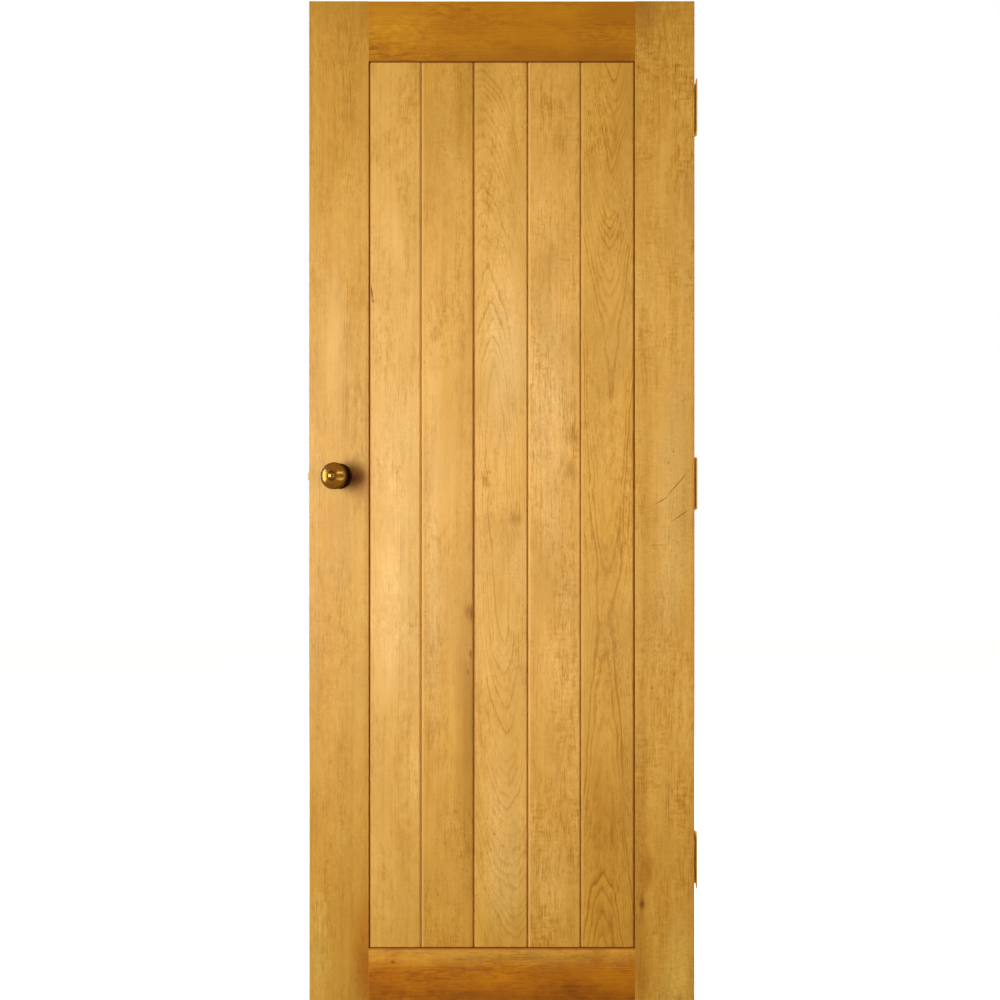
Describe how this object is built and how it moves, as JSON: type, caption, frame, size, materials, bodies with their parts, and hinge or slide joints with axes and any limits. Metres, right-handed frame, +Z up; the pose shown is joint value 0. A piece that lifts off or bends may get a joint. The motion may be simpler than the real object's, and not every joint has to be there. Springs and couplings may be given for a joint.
{
  "type": "boarded oak door",
  "caption": "Oak room door leaf of V-jointed vertical boards in a stile-and-rail frame, hung on brass butt hinges, with round brass knobs and a tubular latch.",
  "frame": {"origin": "bottom centre of the leaf, midway through its thickness", "axes": "+Z up, +X from the lock edge to the hinge edge, +Y from the front face to the back face, the way the door opens"},
  "size_m": [0.7778, 0.1576, 1.981],
  "materials": {
    "oak_stiles": "satin varnish",
    "oak_boards": "satin varnish",
    "oak_rails": "satin varnish",
    "aged_brass": "polished, aged",
    "brass": "satin",
    "steel": "bright zinc"
  },
  "bodies": {
    "jamb_side": {"bottom_hinge_jamb_flap": "brass", "bottom_hinge_pin": "brass", "bottom_hinge_washers": "steel", "middle_hinge_jamb_flap": "brass", "middle_hinge_pin": "brass", "middle_hinge_washers": "steel", "top_hinge_jamb_flap": "brass", "top_hinge_pin": "brass", "top_hinge_washers": "steel"},
    "leaf": {"lock_stile": "oak_stiles", "hinge_stile": "oak_stiles", "top_rail": "oak_rails", "bottom_rail": "oak_rails", "board_1": "oak_boards", "board_2": "oak_boards", "board_3": "oak_boards", "board_4": "oak_boards", "board_5": "oak_boards", "front_rose": "aged_brass", "back_rose": "aged_brass", "front_rose_screws": "brass", "back_rose_screws": "brass", "hinge_screws": "brass", "latch_faceplate": "brass", "latch_screws": "brass", "latch_case": "steel", "latch_spring": "steel", "bottom_hinge_door_flap": "brass", "middle_hinge_door_flap": "brass", "top_hinge_door_flap": "brass"},
    "knobs": {"front_knob": "aged_brass", "back_knob": "aged_brass", "spindle": "steel", "grub_screws": "steel", "latch_follower": "steel"},
    "bolt": {"latch_bolt": "brass"}
  },
  "joints": [
    {"name": "leaf_swing", "type": "hinge", "parent": "jamb_side", "child": "leaf", "pos_m": [0.3825, 0.026, 1.028], "axis": [0, 0, -1], "range_deg": [0, 120]},
    {"name": "knob_turn", "type": "hinge", "parent": "leaf", "child": "knobs", "pos_m": [-0.321, 0, 1.042], "axis": [0, 1, 0], "range_deg": [0, 60], "stiffness_Nm_per_rad": 0.6, "springref_deg": -14.32},
    {"name": "bolt_slide", "type": "slide", "parent": "leaf", "child": "bolt", "axis": [1, 0, 0], "range_m": [0, 0.0088], "deforming": ["latch_spring"]}
  ],
  "couplings": [
    {"joint": "bolt_slide", "follows": "knob_turn", "m_per_rad": 0.0084}
  ]
}
